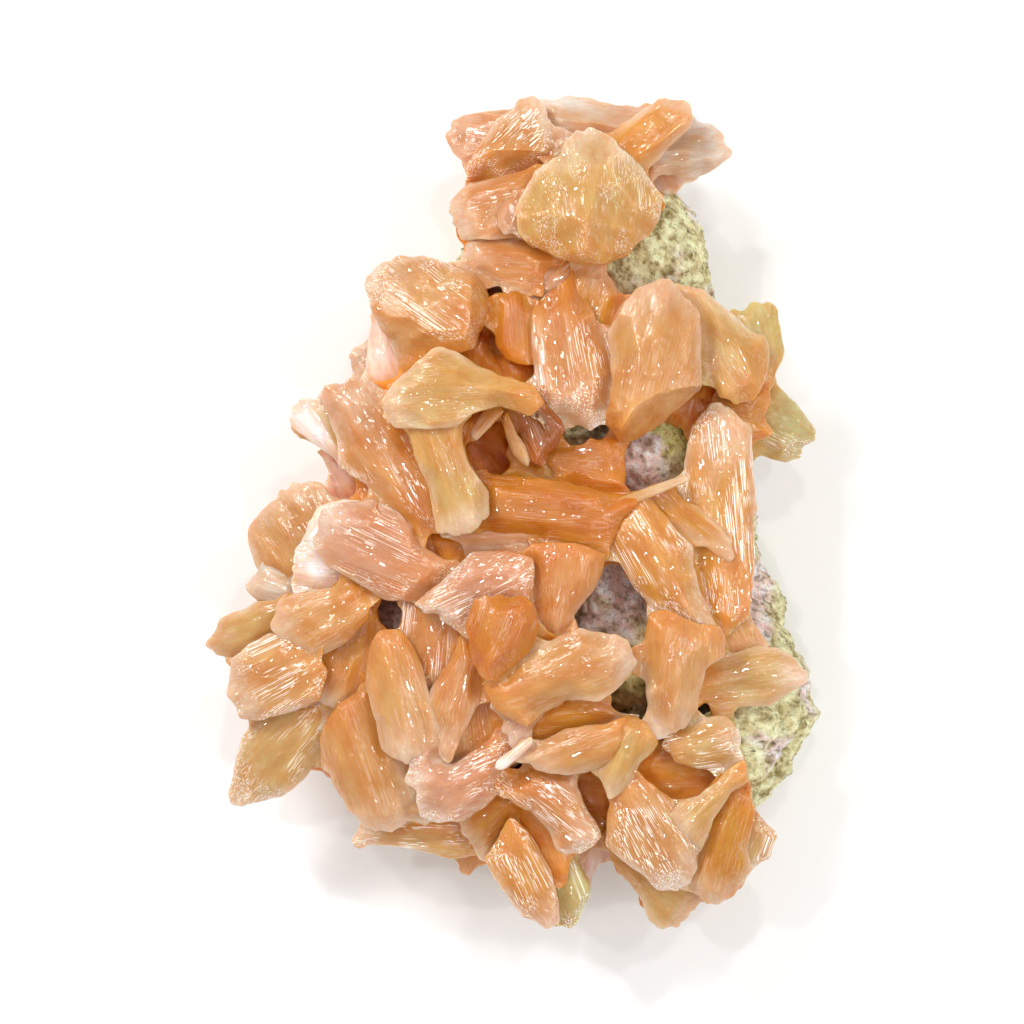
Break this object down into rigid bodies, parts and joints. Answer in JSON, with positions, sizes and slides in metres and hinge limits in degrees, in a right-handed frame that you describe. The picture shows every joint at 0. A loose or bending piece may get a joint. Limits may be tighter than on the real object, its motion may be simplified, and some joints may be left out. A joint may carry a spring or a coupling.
{
  "type": "mineral specimen",
  "caption": "Peach stilbite blades clustered on a lump of yellow-green mordenite crust, lying on its flat-cut back.",
  "frame": {"origin": "centre of the bounding box's footprint, on the flat-cut back of the rock", "axes": "+Y along the specimen's long way, towards the narrow end; +X to the right as seen from the crystal side; +Z out of the crystal side, away from the cut"},
  "size_m": [0.1025, 0.1398, 0.0571],
  "materials": {
    "mordenite": "fine granular crust, yellow-green with mauve and olive-brown hollows",
    "stilbite": "waxy translucent peach crystal, cream tips and deep orange roots, finely striated faces"
  },
  "bodies": {
    "root": {"mordenite_matrix": "mordenite", "stilbite_crystals": "stilbite"}
  },
  "joints": []
}
